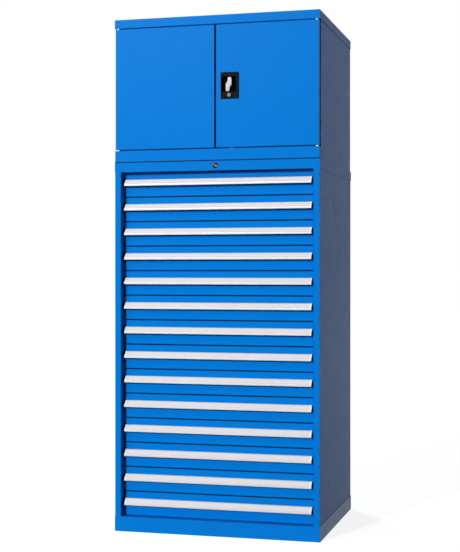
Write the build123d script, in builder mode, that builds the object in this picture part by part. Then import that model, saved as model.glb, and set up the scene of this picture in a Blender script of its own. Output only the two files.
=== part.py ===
from build123d import *
import math
import os

# Parts drawer cabinet: fourteen drawers in a steel cabinet, with a two-door cupboard on top.
# X runs to the right, Y to the back and Z up. The origin is on the floor, under the middle.
# "Depth" below is measured back from the plane of the doors and the front frame.

# Overall box
overall_width = 850.0
overall_depth = 725.0
hardware_proud = 3.0

# Heights, from the floor up
base_height = 60.0
drawer_count = 14
drawer_pitch = 100.0
top_rim_height = 40.0
cupboard_height = 580.0
fascia_height = 47.0
lid_rim_height = 35.0

# Sheet metal
body_sheet = 1.5
tray_sheet = 1.2
door_sheet = 1.2
edge_radius = 1.4
plinth_edge_radius = 0.7

# Lower cabinet body
panel_side_inset = 1.5
panel_back_inset = 4.0
stile_width = 25.0
stile_return = 35.0
back_flange = 22.0
plinth_lip = 30.0
cover_front_lip = 24.0
cover_back_lip = 18.0
back_screw_radius = 2.0
back_screw_head_radius = 4.5
back_screw_head = 1.6
back_screw_head_edge = 0.8
back_screw_length = 8.0
back_screw_rows = 6
screw_clearance = 0.2

# Drawers
front_inset = 34.0
front_thickness = 22.0
front_gap = 3.0
front_side_gap = 7.0
tray_lift = 8.0
tray_height = 80.0
tray_hem = 7.0
space_behind_tray = 55.0
rail_start_gap = 4.0
rail_mid_height = 48.0
rail_sheet = 1.5
fixed_rail_height = 44.0
fixed_rail_width = 16.0
moving_rail_width = 15.0
rail_slide_clearance = 0.3
rail_side_clearance = 4.5
opening_clearance = 2.5
upright_width = 40.0
upright_front_offset = 2.0
upright_rear_inset = 40.0
upright_slot_width = 14.0
upright_slot_height = 8.0

# Drawer handles
handle_length = 788.0
handle_drop = 27.0
handle_height = 26.5
handle_reach = 24.0
handle_top_reach = 5.0
handle_lip = 8.0
handle_wall = 2.0
handle_edge_radius = 1.0
handle_back_height = 19.0
end_cap_width = 6.0
end_cap_gap = 0.15

# Main lock and the bar that it lifts behind the drawers
lock_drop = 20.0
lock_ring_radius = 11.5
lock_ring_proud = 1.8
lock_ring_edge = 0.6
lock_barrel_radius = 9.5
lock_barrel_length = 26.0
lock_nut_radius = 14.0
lock_nut_thickness = 3.5
lock_nut_clearance = 0.1
lock_plug_radius = 6.0
lock_plug_proud = 0.9
turning_clearance = 0.05
key_slot_width = 1.6
key_slot_length = 9.0
key_slot_depth = 8.0
key_slot_angle = 40.0
cam_thickness = 2.5
cam_pin_radius = 2.0
cam_arm_margin = 1.0
cam_pin_length = 5.5
cam_slot_clearance = 0.6
bar_lift = 10.0
bar_width = 30.0
bar_thickness = 3.0
bar_behind_tray = 30.0
bar_end_clearance = 12.0
link_height = 12.0
link_thickness = 3.0
bar_plate_height = 18.0
bar_plate_gap = 1.5
catch_height = 70.0
catch_width = 28.0
catch_reach = 18.0
catch_lip = 10.0
catch_sheet = 2.0
hook_width = 16.0
hook_thickness = 3.0
hook_tip_offset = 8.0
hook_clearance = 2.0
guide_width = 44.0
guide_height = 20.0
guide_clearance = 0.5
guide_front_wall = 5.0
guide_drawers = (2, 7, 12)
guide_mid_height = 90.0

# Cupboard body
cap_clearance = 0.25
lid_back_inset = 9.0
post_setback = 25.0
post_width = 22.0
post_return = 15.0
cupboard_flange = 26.0
fascia_lip = 20.0
fit_clearance = 0.25
bolt_radius = 4.0
bolt_head_radius = 7.5
bolt_head_height = 5.5
bolt_length = 14.0
bolt_clearance = 0.3
nut_clearance = 0.15
bolt_side_inset = 16.0
bolt_front_depth = 110.0
bolt_back_depth = 620.0

# Shelf
shelf_fold = 25.0
shelf_side_gap = 1.5
shelf_front_depth = 48.0
shelf_back_gap = 3.0
clip_width = 20.0
clip_reach = 12.0
clip_drop = 18.0
clip_sheet = 2.0
clip_inset = 60.0

# Doors, each on an upper and a lower pivot pin
door_thickness = 20.0
door_gap = 4.0
door_middle_gap = 6.5
door_side_step = 2.0
door_return_lip = 15.0
pivot_inset = 10.0
pivot_radius = 4.0
pivot_in_door = 10.0
pivot_in_frame = 6.0
pivot_collar_radius = 6.5
pivot_collar_play = 0.5
pivot_block = 16.0
pivot_block_height = 14.0

# Turn latch on the right door
latch_from_middle = 55.7
latch_plate_offset = 4.9
latch_key_offset = 2.0
latch_plate_width = 74.6
latch_plate_height = 106.0
latch_plate_radius = 3.0
latch_plate_chamfer = 1.0
cup_width = 60.0
cup_height = 60.0
cup_depth = 13.5
cup_wall = 1.2
wing_above_plate_middle = 5.5
key_below_plate_middle = 37.0
wing_lobe_radius = 8.4
wing_lobe_height = 20.5
wing_lobe_shift = 3.9
wing_waist_height = 1.0
wing_waist_slope = 12.0
wing_thickness = 9.0
wing_below_plate_face = 2.0
wing_edge_radius = 1.6
spindle_radius = 8.0
spindle_end_depth = 18.5
key_plug_radius = 7.5
key_plug_edge = 0.6
latch_key_slot_length = 7.5
key_boss_radius = 10.0
key_boss_depth = 17.0
key_tail_length = 16.0
key_tail_width = 8.0
key_tail_thickness = 2.0
latch_cam_thickness = 2.0
latch_cam_radius = 14.5
latch_pin_radius = 2.5
latch_pin_end = 0.75
rod_stroke = 15.0
rod_width = 16.0
rod_side_step = 9.0
rod_thickness = 3.0
rod_front_depth = 21.5
rod_end_play = 2.0
rod_foot = 8.0
rod_slot_clearance = 0.6
rod_guide_wall = 3.0
rod_guide_height = 10.0
rod_guide_inset = 12.0
rod_guide_clearance = 0.3
keeper_clearance = 1.5

# Positions that follow from the sizes above
half_width = overall_width / 2
front_y = -overall_depth / 2 + hardware_proud
back_y = overall_depth / 2
full_depth = back_y - front_y
rim_bottom = base_height + drawer_count * drawer_pitch
cabinet_top = rim_bottom + top_rim_height
fascia_top = cabinet_top + fascia_height
overall_height = cabinet_top + cupboard_height
lid_bottom = overall_height - lid_rim_height

panel_x = half_width - panel_side_inset
panel_inner_x = panel_x - body_sheet
stile_inner_x = panel_x - stile_width
panel_back_depth = full_depth - panel_back_inset
back_panel_front_depth = panel_back_depth - 2 * body_sheet

front_half = stile_inner_x - front_side_gap
moving_rail_x = stile_inner_x - opening_clearance
tray_half = moving_rail_x - moving_rail_width
fixed_rail_x = moving_rail_x + rail_side_clearance + rail_sheet
moving_rail_height = fixed_rail_height - 2 * rail_sheet - 2 * rail_slide_clearance
rail_start_depth = front_inset + front_thickness + rail_start_gap
tray_back_depth = back_panel_front_depth - space_behind_tray
rail_length = tray_back_depth - rail_start_depth
upright_rear_offset = rail_length - upright_rear_inset - upright_width
bar_depth = tray_back_depth + bar_behind_tray
lock_z = cabinet_top - lock_drop
lock_plug_end = lock_barrel_length + bar_plate_gap
cam_end = lock_plug_end + cam_thickness
bar_plate_depth = cam_end + bar_plate_gap

shell_x = half_width - body_sheet - cap_clearance
shell_inner_x = shell_x - body_sheet
lid_back_depth = full_depth - lid_back_inset
shell_back_depth = lid_back_depth - body_sheet - cap_clearance
shell_inner_back_depth = shell_back_depth - body_sheet
door_bottom = fascia_top + door_gap
door_top = lid_bottom - door_gap
door_outer_x = shell_x - door_side_step
pivot_x = door_outer_x - pivot_inset
pivot_depth = door_thickness / 2
shelf_top = (fascia_top + lid_bottom) / 2
shelf_bottom = shelf_top - shelf_fold
latch_z = (door_bottom + door_top) / 2
wing_z = latch_z + wing_above_plate_middle
key_x = latch_from_middle + latch_key_offset
key_z = latch_z - key_below_plate_middle
rod_up_x = latch_from_middle - rod_side_step
rod_down_x = latch_from_middle + rod_side_step

# A pin that swings from 45 degrees below to 45 degrees above its pivot lifts by this radius times 2 sin 45
half_turn = math.radians(45)
cam_radius = bar_lift / (2 * math.sin(half_turn))
latch_pin_swing = rod_stroke / (2 * math.sin(half_turn))


def at_depth(depth):
    """The Y position of a depth behind the front plane."""
    return front_y + depth


def drawer_floor(number):
    """The height at which a drawer's share of the opening starts, counting drawers from the top."""
    return base_height + (drawer_count - number) * drawer_pitch


def block(x_range, depth_range, z_range, mode=Mode.ADD):
    """A rectangular block between two limits in X, in depth and in Z."""
    middle = (sum(x_range) / 2, at_depth(sum(depth_range) / 2), sum(z_range) / 2)
    with Locations(middle):
        Box(x_range[1] - x_range[0], depth_range[1] - depth_range[0], z_range[1] - z_range[0], mode=mode)


def rod_along_y(x, z, radius, depth_range, mode=Mode.ADD):
    """A round bar or hole that runs from front to back."""
    with Locations((x, at_depth(sum(depth_range) / 2), z)):
        Cylinder(radius, depth_range[1] - depth_range[0], rotation=(90, 0, 0), mode=mode)


def rod_along_z(x, depth, radius, z_range, mode=Mode.ADD):
    """A round bar or hole that stands upright."""
    with Locations((x, at_depth(depth), sum(z_range) / 2)):
        Cylinder(radius, z_range[1] - z_range[0], mode=mode)


def strip_outline(path, thickness):
    """The outline of a sheet folded at right angles, with its thickness on the left of its path."""
    inner = []
    last = len(path) - 1
    for i, (x, y) in enumerate(path):
        before = path[i - 1] if i > 0 else None
        after = path[i + 1] if i < last else None
        shift_x = 0.0
        shift_y = 0.0
        for start, end in ((before, (x, y)), ((x, y), after)):
            if start is None or end is None:
                continue
            length = math.hypot(end[0] - start[0], end[1] - start[1])
            shift_x -= thickness * (end[1] - start[1]) / length
            shift_y += thickness * (end[0] - start[0]) / length
        inner.append((x + shift_x, y + shift_y))
    return list(path) + inner[::-1]


def write(piece, name):
    """Labels a finished piece and writes it."""
    piece.part.label = name
    export_step(piece.part, f"parts/{name}.step")


def round_front(piece, radius):
    """Rounds the edges of the front face of a block and its four edges that run back."""
    front_edges = piece.faces().sort_by(Axis.Y)[0].edges()
    running_back = piece.edges().filter_by(Axis.Y)
    fillet(front_edges + running_back, radius)


def back_screw_places():
    """The X and Z of the screws that hold the back panel to the side panels."""
    side = panel_x - back_flange / 2
    step = (rim_bottom - base_height) / back_screw_rows
    heights = [base_height + step * (row + 0.5) for row in range(back_screw_rows)]
    return [(sign * side, z) for sign in (-1, 1) for z in heights]


def bolt_places():
    """The X and depth of the bolts that join the cupboard to the cabinet."""
    side = shell_x - bolt_side_inset
    return [(sign * side, depth) for sign in (-1, 1) for depth in (bolt_front_depth, bolt_back_depth)]


# Base plinth: a folded tray turned upside down, whose top is the cabinet's floor
def base_plinth():
    with BuildPart() as plinth:
        block((-half_width, half_width), (0, full_depth), (0, base_height))
        fillet(plinth.edges().filter_by(Axis.Z), edge_radius)
        fillet(plinth.faces().sort_by(Axis.Z)[-1].edges(), plinth_edge_radius)
        inside_x = half_width - body_sheet
        block((-inside_x, inside_x), (body_sheet, full_depth - body_sheet),
              (body_sheet, base_height - body_sheet), Mode.SUBTRACT)
        opening_x = half_width - plinth_lip
        block((-opening_x, opening_x), (plinth_lip, full_depth - plinth_lip),
              (0, body_sheet), Mode.SUBTRACT)
    write(plinth, "base_plinth")


# Side panels: one sheet each, folded in front into a hollow stile and behind into a flange
def side_panels():
    path = [(stile_inner_x, at_depth(stile_return)),
            (stile_inner_x, front_y),
            (panel_x, front_y),
            (panel_x, at_depth(panel_back_depth)),
            (panel_x - back_flange, at_depth(panel_back_depth))]
    for name, sign in (("side_panel_right", 1), ("side_panel_left", -1)):
        with BuildPart() as panel:
            with BuildSketch(Plane.XY.offset(base_height)) as section:
                with BuildLine():
                    Polyline(*strip_outline(path, body_sheet), close=True)
                make_face()
                corners = [section.vertices().sort_by_distance(Vector(x, y, base_height))[0]
                           for x, y in path[1:4]]
                fillet(corners, edge_radius)
            extrude(amount=rim_bottom - base_height)
            for x, z in back_screw_places():
                if x > 0:
                    rod_along_y(x, z, back_screw_radius + screw_clearance,
                                (back_panel_front_depth, panel_back_depth), Mode.SUBTRACT)
            if sign < 0:
                mirror(about=Plane.YZ, mode=Mode.REPLACE)
        write(panel, name)


# Back panel, held inside the side panels' rear flanges, and its screws
def back_panel():
    with BuildPart() as panel:
        block((-panel_inner_x, panel_inner_x), (back_panel_front_depth, panel_back_depth - body_sheet),
              (base_height, rim_bottom))
        for x, z in back_screw_places():
            rod_along_y(x, z, back_screw_radius + screw_clearance,
                        (back_panel_front_depth, panel_back_depth), Mode.SUBTRACT)
    write(panel, "back_panel")

    with BuildPart() as screws:
        for x, z in back_screw_places():
            head_end = panel_back_depth + back_screw_head
            rod_along_y(x, z, back_screw_head_radius, (panel_back_depth, head_end))
            rod_along_y(x, z, back_screw_radius, (panel_back_depth - back_screw_length, panel_back_depth))
        fillet(screws.faces().group_by(Axis.Y)[-1].edges(), back_screw_head_edge)
    write(screws, "back_panel_screws")


# Top cover of the drawer cabinet: a shallow tray with its rim folded down and its lips turned in
def top_cover():
    with BuildPart() as cover:
        block((-half_width, half_width), (0, full_depth), (rim_bottom, cabinet_top))
        fillet(cover.edges().filter_by(Axis.Z), edge_radius)
        fillet(cover.faces().sort_by(Axis.Z)[-1].edges(), edge_radius)
        inside_x = half_width - body_sheet
        block((-inside_x, inside_x), (body_sheet, full_depth - body_sheet),
              (rim_bottom + body_sheet, cabinet_top - body_sheet), Mode.SUBTRACT)
        block((-stile_inner_x, stile_inner_x), (cover_front_lip, full_depth - cover_back_lip),
              (rim_bottom, rim_bottom + body_sheet), Mode.SUBTRACT)
        rod_along_y(0, lock_z, lock_barrel_radius + screw_clearance, (0, body_sheet), Mode.SUBTRACT)
        for x, depth in bolt_places():
            rod_along_z(x, depth, bolt_radius + bolt_clearance,
                        (cabinet_top - body_sheet, cabinet_top), Mode.SUBTRACT)
    write(cover, "top_cover")


# Uprights: four slotted channels on the side panels, which carry the drawer rails
def rail_uprights():
    with BuildPart() as uprights:
        for offset_back in (upright_front_offset, upright_rear_offset):
            near = at_depth(rail_start_depth + offset_back)
            far = near + upright_width
            path = [(panel_inner_x, near), (fixed_rail_x, near), (fixed_rail_x, far), (panel_inner_x, far)]
            with BuildSketch(Plane.XY.offset(base_height)):
                Polygon(*strip_outline(path[::-1], body_sheet), align=None)
            extrude(amount=rim_bottom - base_height)
            slot_start = rail_start_depth + offset_back + (upright_width - upright_slot_width) / 2
            for number in range(1, drawer_count + 1):
                slot_low = drawer_floor(number) + rail_mid_height - upright_slot_height / 2
                block((fixed_rail_x, fixed_rail_x + body_sheet), (slot_start, slot_start + upright_slot_width),
                      (slot_low, slot_low + upright_slot_height), Mode.SUBTRACT)
        mirror(about=Plane.YZ)
    write(uprights, "rail_uprights")


# Fixed rails: a pair of channels for each drawer, open towards the drawer
def cabinet_rails():
    half = fixed_rail_height / 2
    tip_x = fixed_rail_x - fixed_rail_width
    path = [(tip_x, -half), (fixed_rail_x, -half), (fixed_rail_x, half), (tip_x, half)]
    section = strip_outline(path, rail_sheet)
    heights = [drawer_floor(number) + rail_mid_height for number in range(1, drawer_count + 1)]
    with BuildPart() as rails:
        with BuildSketch(Plane.XZ.offset(-at_depth(rail_start_depth))):
            with Locations(*[(0, z) for z in heights]):
                Polygon(*section, align=None)
            mirror(about=Plane.YZ)
        extrude(amount=-rail_length)
    write(rails, "cabinet_rails")


# Drawer tray: hollow front, trough, the channel on each side and the catch behind, welded into one
def drawer_tray(number):
    floor = drawer_floor(number)
    front_low = floor + front_gap / 2
    front_high = floor + drawer_pitch - front_gap / 2
    trough_low = floor + tray_lift
    trough_high = trough_low + tray_height
    front_back = front_inset + tray_sheet
    with BuildPart() as tray:
        block((-front_half, front_half), (front_inset, front_inset + front_thickness),
              (front_low, front_high))
        round_front(tray, edge_radius)
        pocket_x = front_half - tray_sheet
        block((-pocket_x, pocket_x), (front_back, front_inset + front_thickness),
              (front_low + tray_sheet, front_high - tray_sheet), Mode.SUBTRACT)
        block((-tray_half, tray_half), (front_back, tray_back_depth), (trough_low, trough_high))
        hollow_x = tray_half - tray_sheet
        block((-hollow_x, hollow_x), (front_back, tray_back_depth - tray_sheet),
              (trough_low + tray_sheet, trough_high), Mode.SUBTRACT)

        # Hems folded outwards along the tops of the sides
        hem_front = front_inset + front_thickness
        for sign in (-1, 1):
            hem = sorted((sign * tray_half, sign * (tray_half + tray_hem)))
            block(hem, (hem_front, tray_back_depth), (trough_high - tray_sheet, trough_high))

        # Side channels, open outwards, that slide inside the fixed rails
        half = moving_rail_height / 2
        channel = strip_outline([(moving_rail_x, half), (tray_half, half),
                                 (tray_half, -half), (moving_rail_x, -half)], rail_sheet)
        with BuildSketch(Plane.XZ.offset(-at_depth(rail_start_depth))):
            with Locations((0, floor + rail_mid_height)):
                Polygon(*channel, align=None)
            mirror(about=Plane.YZ)
        extrude(amount=-rail_length)

        # Catch behind the tray, which the raised lock bar holds
        catch_z = floor + catch_height
        catch_end = tray_back_depth + catch_reach
        catch_x = (-catch_width / 2, catch_width / 2)
        block(catch_x, (tray_back_depth, catch_end), (catch_z - catch_sheet, catch_z))
        block(catch_x, (catch_end - catch_sheet, catch_end), (catch_z - catch_sheet - catch_lip, catch_z))
    write(tray, f"drawer_{number:02d}_tray")


# Handle: a hollow-backed aluminium profile over the drawer's width, with a plastic cap on each end
def drawer_handle(number):
    top = drawer_floor(number) + drawer_pitch - front_gap / 2 - handle_drop
    bottom = top - handle_height
    face = at_depth(front_inset)
    front = face - handle_reach
    top_front = face - handle_top_reach
    slope = math.atan2(handle_height - handle_lip, handle_reach - handle_top_reach)
    slope_gap = handle_wall / math.sin(slope)
    lip_gap = handle_wall * (1 - math.cos(slope)) / math.sin(slope)
    outside = [(face, top), (top_front, top), (front, bottom + handle_lip), (front, bottom)]
    inside_top = top - handle_wall
    inside_turn = top_front + slope_gap - handle_wall / math.tan(slope)
    inside = [(front + handle_wall, bottom),
              (front + handle_wall, bottom + handle_lip - lip_gap),
              (min(inside_turn, face - handle_wall), inside_top),
              (face - handle_wall, inside_top),
              (face - handle_wall, top - handle_back_height),
              (face, top - handle_back_height)]
    profile_half = handle_length / 2 - end_cap_width - end_cap_gap
    cap_outline = outside + [(face, bottom)]
    with BuildPart() as handle:
        with BuildSketch(Plane.YZ.offset(-profile_half)) as section:
            Polygon(*(outside + inside), align=None)
            rounded = [section.vertices().sort_by_distance(Vector(-profile_half, y, z))[0]
                       for y, z in outside[1:3]]
            fillet(rounded, handle_edge_radius)
        extrude(amount=2 * profile_half)
        for start in (-handle_length / 2, profile_half + end_cap_gap):
            with BuildSketch(Plane.YZ.offset(start)) as cap:
                Polygon(*cap_outline, align=None)
                fillet(cap.vertices().sort_by_distance(Vector(start, front, bottom))[0], handle_wall)
            extrude(amount=end_cap_width)
    write(handle, f"drawer_{number:02d}_handle")


# Main lock: a barrel through the cover's rim with its nut, and the plug that turns in it
def main_lock():
    with BuildPart() as barrel:
        rod_along_y(0, lock_z, lock_ring_radius, (-lock_ring_proud, 0))
        fillet(barrel.faces().sort_by(Axis.Y)[0].edges(), lock_ring_edge)
        rod_along_y(0, lock_z, lock_barrel_radius, (0, lock_barrel_length))
        rod_along_y(0, lock_z, lock_plug_radius + turning_clearance,
                    (-lock_ring_proud, lock_barrel_length), Mode.SUBTRACT)
        with BuildSketch(Plane.XZ.offset(-at_depth(body_sheet))):
            with Locations((0, lock_z)):
                RegularPolygon(lock_nut_radius, 6)
                Circle(lock_barrel_radius + lock_nut_clearance, mode=Mode.SUBTRACT)
        extrude(amount=-lock_nut_thickness)
    write(barrel, "main_lock_barrel")

    pin_x = -cam_radius * math.cos(half_turn)
    pin_z = lock_z - cam_radius * math.sin(half_turn)
    arm_radius = cam_pin_radius + cam_arm_margin
    with BuildPart() as plug:
        rod_along_y(0, lock_z, lock_plug_radius, (-lock_plug_proud, lock_plug_end))
        with BuildSketch(Plane.XZ.offset(-at_depth(lock_plug_end))) as arm:
            with Locations((0, lock_z)):
                Circle(lock_plug_radius)
            with Locations((pin_x, pin_z)):
                Circle(arm_radius)
            make_hull()
        extrude(amount=-cam_thickness)
        rod_along_y(pin_x, pin_z, cam_pin_radius, (cam_end, cam_end + cam_pin_length))
        slot_middle = at_depth(-lock_plug_proud + key_slot_depth / 2)
        with Locations(Location((0, slot_middle, lock_z), (0, key_slot_angle, 0))):
            Box(key_slot_length, key_slot_depth, key_slot_width, mode=Mode.SUBTRACT)
    write(plug, "main_lock_plug")


# Lock bar: slotted plate at the cam, link to the back, upright strip and a hook for each drawer
def lock_bar():
    pin_low_x = -cam_radius
    pin_high_x = -cam_radius * math.cos(half_turn)
    pin_z = lock_z - cam_radius * math.sin(half_turn)
    slot_reach = cam_pin_radius + cam_slot_clearance
    plate_x = (pin_low_x - slot_reach - bar_thickness, link_thickness / 2)
    plate_back = bar_plate_depth + bar_thickness
    plate_z = (pin_z - bar_plate_height / 2, pin_z + bar_plate_height / 2)
    link_z = (plate_z[0], plate_z[0] + link_height)
    bar_back = bar_depth + bar_thickness
    with BuildPart() as bar:
        block(plate_x, (bar_plate_depth, plate_back), plate_z)
        block((pin_low_x - slot_reach, pin_high_x + slot_reach), (bar_plate_depth, plate_back),
              (pin_z - slot_reach, pin_z + slot_reach), Mode.SUBTRACT)
        block((-link_thickness / 2, link_thickness / 2), (plate_back, bar_depth), link_z)
        block((-bar_width / 2, bar_width / 2), (bar_depth, bar_back),
              (base_height + bar_end_clearance, link_z[1]))
        for number in range(1, drawer_count + 1):
            lip_bottom = drawer_floor(number) + catch_height - catch_sheet - catch_lip
            tip_top = lip_bottom - hook_clearance
            finger_top = tip_top - bar_lift
            hook_start = tray_back_depth + hook_tip_offset
            hook_x = (-hook_width / 2, hook_width / 2)
            block(hook_x, (hook_start, bar_depth), (finger_top - hook_thickness, finger_top))
            block(hook_x, (hook_start, hook_start + hook_thickness), (finger_top - hook_thickness, tip_top))
    write(bar, "lock_bar")

    with BuildPart() as guides:
        for number in guide_drawers:
            middle = drawer_floor(number) + guide_mid_height
            guide_z = (middle - guide_height / 2, middle + guide_height / 2)
            block((-guide_width / 2, guide_width / 2),
                  (bar_depth - guide_front_wall, back_panel_front_depth), guide_z)
            slot_half = bar_width / 2 + guide_clearance
            block((-slot_half, slot_half), (bar_depth - guide_clearance, bar_back + guide_clearance),
                  guide_z, Mode.SUBTRACT)
    write(guides, "lock_bar_guides")


# Cupboard shell: one sheet wrapped round both sides and the back, with folded front posts
def cupboard_shell():
    post_x = shell_x - post_width
    front = at_depth(post_setback)
    returned = at_depth(post_setback + post_return)
    right = [(post_x, returned), (post_x, front), (shell_x, front), (shell_x, at_depth(shell_back_depth))]
    left = [(-x, y) for x, y in right[::-1]]
    path = right + left
    shell_z = (cabinet_top, overall_height - body_sheet)
    with BuildPart() as shell:
        with BuildSketch(Plane.XY.offset(shell_z[0])) as section:
            with BuildLine():
                Polyline(*strip_outline(path, body_sheet), close=True)
            make_face()
            corners = [section.vertices().sort_by_distance(Vector(x, y, shell_z[0]))[0]
                       for x, y in path[1:7]]
            fillet(corners, edge_radius)
        extrude(amount=shell_z[1] - shell_z[0])
        flange_z = (cabinet_top, cabinet_top + body_sheet)
        flange_depths = (post_setback + post_return + fit_clearance, shell_inner_back_depth)
        for sign in (-1, 1):
            flange_x = sorted((sign * shell_inner_x, sign * (shell_inner_x - cupboard_flange)))
            block(flange_x, flange_depths, flange_z)
        for x, depth in bolt_places():
            rod_along_z(x, depth, bolt_radius + bolt_clearance, flange_z, Mode.SUBTRACT)
    write(shell, "cupboard_shell")


# Cupboard floor with the fascia under the doors, which it is folded into
def cupboard_floor():
    inner_x = shell_inner_x - fit_clearance
    floor_z = (fascia_top - body_sheet, fascia_top)
    post_x = shell_x - post_width - fit_clearance
    post_back = post_setback + post_return + fit_clearance
    keeper_half = rod_width / 2 + keeper_clearance
    keeper_depths = (rod_front_depth - keeper_clearance, rod_front_depth + rod_thickness + keeper_clearance)
    with BuildPart() as floor:
        block((-shell_x, shell_x), (0, post_setback), (cabinet_top, fascia_top))
        round_front(floor, edge_radius)
        block((-shell_x + body_sheet, shell_x - body_sheet), (body_sheet, post_setback),
              (cabinet_top + body_sheet, fascia_top - body_sheet), Mode.SUBTRACT)
        block((-shell_x + body_sheet, shell_x - body_sheet), (fascia_lip, post_setback),
              (cabinet_top, cabinet_top + body_sheet), Mode.SUBTRACT)
        block((-post_x, post_x), (post_setback, post_back), floor_z)
        block((-inner_x, inner_x), (post_back, shell_inner_back_depth), floor_z)
        block((rod_down_x - keeper_half, rod_down_x + keeper_half), keeper_depths, floor_z, Mode.SUBTRACT)
        for x in (-pivot_x, pivot_x):
            rod_along_z(x, pivot_depth, pivot_radius + turning_clearance, floor_z, Mode.SUBTRACT)
    write(floor, "cupboard_floor")


# Cupboard lid: a shallow cap over the shell, with a lip over the doors for the upper pivots
def cupboard_lid():
    lip_z = (lid_bottom, lid_bottom + body_sheet)
    keeper_half = rod_width / 2 + keeper_clearance
    with BuildPart() as lid:
        block((-half_width, half_width), (0, lid_back_depth), (lid_bottom, overall_height))
        fillet(lid.edges().filter_by(Axis.Z), edge_radius)
        fillet(lid.faces().sort_by(Axis.Z)[-1].edges(), edge_radius)
        inside_x = half_width - body_sheet
        block((-inside_x, inside_x), (body_sheet, lid_back_depth - body_sheet),
              (lid_bottom, overall_height - body_sheet), Mode.SUBTRACT)
        block((-inside_x, inside_x), (body_sheet, post_setback), lip_z)
        block((rod_up_x - keeper_half, rod_up_x + keeper_half),
              (rod_front_depth - keeper_clearance, post_setback), lip_z, Mode.SUBTRACT)
        for x in (-pivot_x, pivot_x):
            rod_along_z(x, pivot_depth, pivot_radius + turning_clearance, lip_z, Mode.SUBTRACT)
    write(lid, "cupboard_lid")


# Bolts and nuts that join the cupboard to the cabinet
def joining_bolts():
    seat = cabinet_top + body_sheet
    nut_top = cabinet_top - body_sheet
    with BuildPart() as bolts:
        for x, depth in bolt_places():
            place = (x, at_depth(depth))
            with BuildSketch(Plane.XY.offset(seat)):
                with Locations(place):
                    RegularPolygon(bolt_head_radius, 6)
            extrude(amount=bolt_head_height)
            rod_along_z(x, depth, bolt_radius, (seat - bolt_length, seat))
            with BuildSketch(Plane.XY.offset(nut_top)):
                with Locations(place):
                    RegularPolygon(bolt_head_radius, 6)
                    Circle(bolt_radius + nut_clearance, mode=Mode.SUBTRACT)
            extrude(amount=-bolt_head_height)
    write(bolts, "joining_bolts")


# Shelf: a folded tray turned upside down, on four clips
def shelf():
    shelf_x = shell_inner_x - shelf_side_gap
    shelf_back = shell_inner_back_depth - shelf_back_gap
    with BuildPart() as board:
        block((-shelf_x, shelf_x), (shelf_front_depth, shelf_back), (shelf_bottom, shelf_top))
        round_front(board, edge_radius)
        block((-shelf_x + tray_sheet, shelf_x - tray_sheet),
              (shelf_front_depth + tray_sheet, shelf_back - tray_sheet),
              (shelf_bottom, shelf_top - tray_sheet), Mode.SUBTRACT)
        for sign in (-1, 1):
            lip = sorted((sign * (shelf_x - tray_sheet), sign * (shelf_x - clip_reach)))
            block(lip, (shelf_front_depth, shelf_back), (shelf_bottom, shelf_bottom + tray_sheet))
    write(board, "cupboard_shelf")

    with BuildPart() as clips:
        for start in (shelf_front_depth + clip_inset, shelf_back - clip_inset - clip_width):
            for sign in (-1, 1):
                depths = (start, start + clip_width)
                wall = sorted((sign * shell_inner_x, sign * (shell_inner_x - clip_sheet)))
                ledge = sorted((sign * shell_inner_x, sign * (shell_inner_x - clip_reach)))
                block(wall, depths, (shelf_bottom - clip_drop, shelf_bottom))
                block(ledge, depths, (shelf_bottom - clip_sheet, shelf_bottom))
    write(clips, "shelf_clips")


# Door: a folded pan with its edges turned in and a drilled block at each pivot
def door(name, sign):
    free_x = door_middle_gap / 2
    span = sorted((sign * free_x, sign * door_outer_x))
    inner = (span[0] + door_sheet, span[1] - door_sheet)
    window = (span[0] + door_return_lip, span[1] - door_return_lip)
    pivot = sign * pivot_x
    with BuildPart() as pan:
        block(span, (0, door_thickness), (door_bottom, door_top))
        round_front(pan, edge_radius)
        block(inner, (door_sheet, door_thickness - door_sheet),
              (door_bottom + door_sheet, door_top - door_sheet), Mode.SUBTRACT)
        block(window, (door_thickness - door_sheet, door_thickness),
              (door_bottom + door_return_lip, door_top - door_return_lip), Mode.SUBTRACT)
        half = pivot_block / 2
        lower_block = (door_bottom, door_bottom + pivot_block_height)
        upper_block = (door_top - pivot_block_height, door_top)
        for low, high in (lower_block, upper_block):
            block((pivot - half, pivot + half), (door_sheet, door_thickness - door_sheet), (low, high))
            rod_along_z(pivot, pivot_depth, pivot_radius + turning_clearance, (low, high), Mode.SUBTRACT)
        if sign > 0:
            cup_half = cup_width / 2 + cup_wall + fit_clearance
            cup_low = key_z - key_boss_radius - fit_clearance
            cup_high = wing_z + cup_height / 2 + cup_wall + fit_clearance
            block((latch_from_middle - cup_half, latch_from_middle + cup_half), (0, door_sheet),
                  (cup_low, cup_high), Mode.SUBTRACT)
    write(pan, name)


# Pivot pins: fixed in the floor and in the lid's lip, each with a collar that fills the gap
def pivot_pins():
    collar = door_gap - pivot_collar_play
    with BuildPart() as pins:
        for x in (-pivot_x, pivot_x):
            rod_along_z(x, pivot_depth, pivot_radius,
                        (fascia_top - pivot_in_frame, door_bottom + pivot_in_door))
            rod_along_z(x, pivot_depth, pivot_collar_radius, (fascia_top, fascia_top + collar))
            rod_along_z(x, pivot_depth, pivot_radius,
                        (door_top - pivot_in_door, lid_bottom + pivot_in_frame))
            rod_along_z(x, pivot_depth, pivot_collar_radius, (lid_bottom - collar, lid_bottom))
    write(pins, "door_pivot_pins")


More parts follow.
